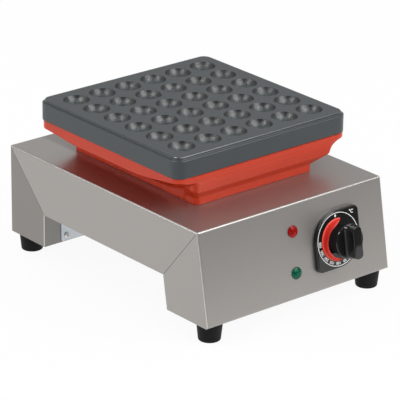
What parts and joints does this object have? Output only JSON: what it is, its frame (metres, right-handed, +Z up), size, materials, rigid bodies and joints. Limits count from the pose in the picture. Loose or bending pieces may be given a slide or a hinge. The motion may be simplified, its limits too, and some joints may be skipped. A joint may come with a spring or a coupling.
{
  "type": "electric poffertjes maker",
  "caption": "Countertop poffertjes maker: dimpled cast baking plate on a red flared carrier, over a folded stainless housing with a thermostat knob and pilot lamps.",
  "frame": {"origin": "on the surface the feet stand on, under the middle of the whole object's box", "axes": "+Z up, +X to the right seen from the front, -Y towards the cook, so the control panel faces -Y"},
  "size_m": [0.31, 0.4642, 0.225],
  "materials": {
    "stainless_sheet": "brushed stainless sheet, satin",
    "zinc_sheet": "zinc-plated sheet, dull",
    "plated_steel": "bright plated steel",
    "foot_rubber": "black rubber",
    "red_enamel": "red enamel, semi-gloss, on a casting",
    "coated_aluminium": "anthracite coated aluminium casting, satin",
    "bare_aluminium": "bare cast aluminium",
    "element_sheath": "heat-darkened steel sheath",
    "insulation": "mineral fibre board",
    "copper": "copper tube",
    "cream_plastic": "cream moulded plastic",
    "black_plastic": "black moulded plastic, satin",
    "red_lens": "red translucent lens",
    "green_lens": "green translucent lens",
    "brown_insulation": "brown wire insulation",
    "red_insulation": "red wire insulation",
    "blue_insulation": "blue wire insulation"
  },
  "bodies": {
    "cooker": {"housing_shell": "stainless_sheet", "bottom_cover": "zinc_sheet", "cover_screws": "plated_steel", "foot_front_left": "foot_rubber", "foot_front_right": "foot_rubber", "foot_rear_left": "foot_rubber", "foot_rear_right": "foot_rubber", "foot_screws": "plated_steel", "foot_nuts": "plated_steel", "plate_carrier": "red_enamel", "carrier_bolts": "plated_steel", "carrier_washers": "plated_steel", "heater_plate": "bare_aluminium", "heating_element": "element_sheath", "element_clamps": "plated_steel", "clamp_screws": "plated_steel", "heater_posts": "plated_steel", "heater_screws": "plated_steel", "insulation_board": "insulation", "thermostat_bulb": "copper", "capillary_tube": "copper", "thermostat_body": "cream_plastic", "dial_bezel": "black_plastic", "dial_screws": "plated_steel", "red_lamp_lens": "red_lens", "red_lamp_body": "cream_plastic", "green_lamp_lens": "green_lens", "green_lamp_body": "cream_plastic", "lamp_nuts": "black_plastic", "cable_gland": "black_plastic", "gland_nut": "black_plastic", "terminal_block": "cream_plastic", "terminal_screws": "plated_steel", "lead_bush": "foot_rubber", "supply_leads": "brown_insulation", "heater_leads": "red_insulation", "lamp_leads": "blue_insulation"},
    "knob": {"control_knob": "black_plastic", "thermostat_spindle": "plated_steel"},
    "plate": {"baking_plate": "coated_aluminium"}
  },
  "joints": [
    {"name": "knob_turn", "type": "hinge", "parent": "cooker", "child": "knob", "pos_m": [0.068, -0.18498, 0.08649], "axis": [0, 0.9842, -0.1771], "range_deg": [0, 270]},
    {"name": "plate_lift", "type": "slide", "parent": "cooker", "child": "plate", "axis": [0, 0, 1], "range_m": [0, 0.06]}
  ]
}
